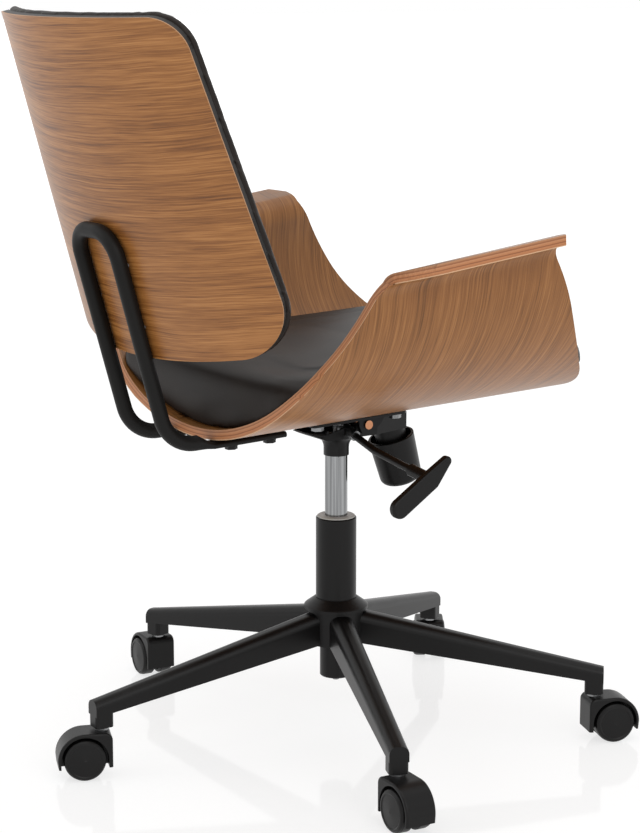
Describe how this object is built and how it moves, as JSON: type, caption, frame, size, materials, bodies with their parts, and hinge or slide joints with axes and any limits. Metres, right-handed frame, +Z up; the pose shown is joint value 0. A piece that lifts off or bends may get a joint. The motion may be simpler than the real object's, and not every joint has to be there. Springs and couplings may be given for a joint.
{
  "type": "office chair",
  "caption": "Office chair: bent walnut plywood seat shell with flared arms, curved padded back on a bent tube, gas lift, tilt mechanism and star base on twin-wheel casters.",
  "frame": {"origin": "floor point under the column axis, at the middle of the circle that the casters stand on", "axes": "+Z up, the chair faces -Y, +X is the sitter's left"},
  "size_m": [0.718, 0.7063, 0.8955],
  "materials": {
    "base_paint": "satin black powder coat",
    "mech_paint": "satin black paint",
    "tube_paint": "matt black powder coat",
    "black_steel": "blackened steel",
    "chrome": "polished",
    "bright_steel": "zinc plated",
    "copper_pin": "copper plated",
    "black_plastic": "fine matt texture",
    "wheel_plastic": "satin nylon",
    "pale_plastic": "natural acetal",
    "black_rubber": "matt",
    "grey_rubber": "matt",
    "walnut_ply": "walnut veneer, satin lacquer",
    "plain_ply": "unfinished plywood",
    "black_leather": "black leatherette on foam, fine grain"
  },
  "bodies": {
    "base": {"star_base": "base_paint", "caster_sleeves": "black_plastic", "hub_collar": "black_plastic", "column_tube": "base_paint", "column_bush": "pale_plastic", "thrust_bearing": "bright_steel"},
    "rod": {"piston_rod": "bright_steel", "rod_clip": "bright_steel", "bump_stop": "black_rubber"},
    "lift": {"gas_cylinder": "chrome", "mech_housing": "mech_paint", "pivot_pin": "copper_pin", "tension_spring": "bright_steel"},
    "valve": {"valve_pin": "bright_steel"},
    "rocker": {"lever_rocker": "bright_steel"},
    "lever": {"lever_rod": "mech_paint", "lever_handle": "black_plastic"},
    "spindle": {"tension_spindle": "bright_steel"},
    "washer": {"spring_washer": "bright_steel"},
    "knob": {"tension_knob": "black_plastic"},
    "seat": {"tilt_plate": "mech_paint", "plate_bolts": "bright_steel", "plate_spacers": "black_plastic", "seat_shell": "walnut_ply", "tee_nuts": "bright_steel", "seat_board": "plain_ply", "seat_cushion": "black_leather", "back_bracket": "tube_paint", "bracket_bolts": "black_steel", "bracket_pads": "grey_rubber", "back_panel": "walnut_ply", "back_board": "plain_ply", "back_cushion": "black_leather", "back_screws": "bright_steel"},
    "caster1": {"caster1_hood": "black_plastic", "caster1_stem": "bright_steel", "caster1_axle": "bright_steel"},
    "wheel1_left": {"caster1_wheel_left": "wheel_plastic"},
    "wheel1_right": {"caster1_wheel_right": "wheel_plastic"},
    "caster2": {"caster2_hood": "black_plastic", "caster2_stem": "bright_steel", "caster2_axle": "bright_steel"},
    "wheel2_left": {"caster2_wheel_left": "wheel_plastic"},
    "wheel2_right": {"caster2_wheel_right": "wheel_plastic"},
    "caster3": {"caster3_hood": "black_plastic", "caster3_stem": "bright_steel", "caster3_axle": "bright_steel"},
    "wheel3_left": {"caster3_wheel_left": "wheel_plastic"},
    "wheel3_right": {"caster3_wheel_right": "wheel_plastic"},
    "caster4": {"caster4_hood": "black_plastic", "caster4_stem": "bright_steel", "caster4_axle": "bright_steel"},
    "wheel4_left": {"caster4_wheel_left": "wheel_plastic"},
    "wheel4_right": {"caster4_wheel_right": "wheel_plastic"},
    "caster5": {"caster5_hood": "black_plastic", "caster5_stem": "bright_steel", "caster5_axle": "bright_steel"},
    "wheel5_left": {"caster5_wheel_left": "wheel_plastic"},
    "wheel5_right": {"caster5_wheel_right": "wheel_plastic"}
  },
  "joints": [
    {"name": "caster1_swivel", "type": "hinge", "parent": "base", "child": "caster1", "pos_m": [0.02344, 0.31914, 0.06], "axis": [0, 0, 1], "continuous": true},
    {"name": "wheel1_left_spin", "type": "hinge", "parent": "caster1", "child": "wheel1_left", "pos_m": [0.03175, 0.33951, 0.025], "axis": [-0.9259, 0.3778, 0], "continuous": true},
    {"name": "wheel1_right_spin", "type": "hinge", "parent": "caster1", "child": "wheel1_right", "pos_m": [0.03175, 0.33951, 0.025], "axis": [-0.9259, 0.3778, 0], "continuous": true},
    {"name": "caster2_swivel", "type": "hinge", "parent": "base", "child": "caster2", "pos_m": [-0.29628, 0.12091, 0.06], "axis": [0, 0, 1], "continuous": true},
    {"name": "wheel2_left_spin", "type": "hinge", "parent": "caster2", "child": "wheel2_left", "pos_m": [-0.31819, 0.1229, 0.025], "axis": [-0.0906, -0.9959, 0], "continuous": true},
    {"name": "wheel2_right_spin", "type": "hinge", "parent": "caster2", "child": "wheel2_right", "pos_m": [-0.31819, 0.1229, 0.025], "axis": [-0.0906, -0.9959, 0], "continuous": true},
    {"name": "caster3_swivel", "type": "hinge", "parent": "base", "child": "caster3", "pos_m": [-0.20655, -0.24441, 0.06], "axis": [0, 0, 1], "continuous": true},
    {"name": "wheel3_left_spin", "type": "hinge", "parent": "caster3", "child": "wheel3_left", "pos_m": [-0.21414, -0.26506, 0.025], "axis": [0.9385, -0.3453, 0], "continuous": true},
    {"name": "wheel3_right_spin", "type": "hinge", "parent": "caster3", "child": "wheel3_right", "pos_m": [-0.21414, -0.26506, 0.025], "axis": [0.9385, -0.3453, 0], "continuous": true},
    {"name": "caster4_swivel", "type": "hinge", "parent": "base", "child": "caster4", "pos_m": [0.16863, -0.27197, 0.06], "axis": [0, 0, 1], "continuous": true},
    {"name": "wheel4_left_spin", "type": "hinge", "parent": "caster4", "child": "wheel4_left", "pos_m": [0.18682, -0.28433, 0.025], "axis": [0.5621, 0.8271, 0], "continuous": true},
    {"name": "wheel4_right_spin", "type": "hinge", "parent": "caster4", "child": "wheel4_right", "pos_m": [0.18682, -0.28433, 0.025], "axis": [0.5621, 0.8271, 0], "continuous": true},
    {"name": "caster5_swivel", "type": "hinge", "parent": "base", "child": "caster5", "pos_m": [0.31076, 0.07633, 0.06], "axis": [0, 0, 1], "continuous": true},
    {"name": "wheel5_left_spin", "type": "hinge", "parent": "caster5", "child": "wheel5_left", "pos_m": [0.33259, 0.07357, 0.025], "axis": [0.1253, 0.9921, 0], "continuous": true},
    {"name": "wheel5_right_spin", "type": "hinge", "parent": "caster5", "child": "wheel5_right", "pos_m": [0.33259, 0.07357, 0.025], "axis": [0.1253, 0.9921, 0], "continuous": true},
    {"name": "seat_swivel", "type": "hinge", "parent": "base", "child": "rod", "pos_m": [0, 0, 0.09], "axis": [0, 0, 1], "continuous": true},
    {"name": "seat_lift", "type": "slide", "parent": "rod", "child": "lift", "axis": [0, 0, 1], "range_m": [-0.068, 0.03]},
    {"name": "seat_tilt", "type": "hinge", "parent": "lift", "child": "seat", "pos_m": [0, -0.023, 0.394], "axis": [-1, 0, 0], "range_deg": [0, 12], "stiffness_Nm_per_rad": 90, "springref_deg": -20.05},
    {"name": "spindle_rise", "type": "slide", "parent": "lift", "child": "spindle", "axis": [0, 0.2924, 0.9563], "range_m": [0, 0.0105], "deforming": ["tension_spring"]},
    {"name": "washer_climb", "type": "slide", "parent": "spindle", "child": "washer", "axis": [0, 0.2924, 0.9563], "range_m": [-0.0031, 0.0031], "deforming": ["tension_spring"]},
    {"name": "knob_turn", "type": "hinge", "parent": "washer", "child": "knob", "pos_m": [0, -0.082, 0.3675], "axis": [0, 0.2924, 0.9563], "range_deg": [-720, 720]},
    {"name": "lever_lift", "type": "hinge", "parent": "lift", "child": "rocker", "pos_m": [-0.022, 0, 0.389], "axis": [0, 1, 0], "range_deg": [0, 10], "stiffness_Nm_per_rad": 1.2, "springref_deg": -17.19},
    {"name": "lever_pull", "type": "slide", "parent": "rocker", "child": "lever", "axis": [-0.9646, 0, -0.2639], "range_m": [0, 0.012]},
    {"name": "valve_press", "type": "slide", "parent": "lift", "child": "valve", "axis": [0, 0, 1], "range_m": [-0.004, 0]}
  ],
  "couplings": [
    {"joint": "spindle_rise", "follows": "seat_tilt", "m_per_rad": 0.0486},
    {"joint": "washer_climb", "follows": "knob_turn", "m_per_rad": 0.00023873},
    {"joint": "valve_press", "follows": "lever_lift", "m_per_rad": -0.022}
  ]
}
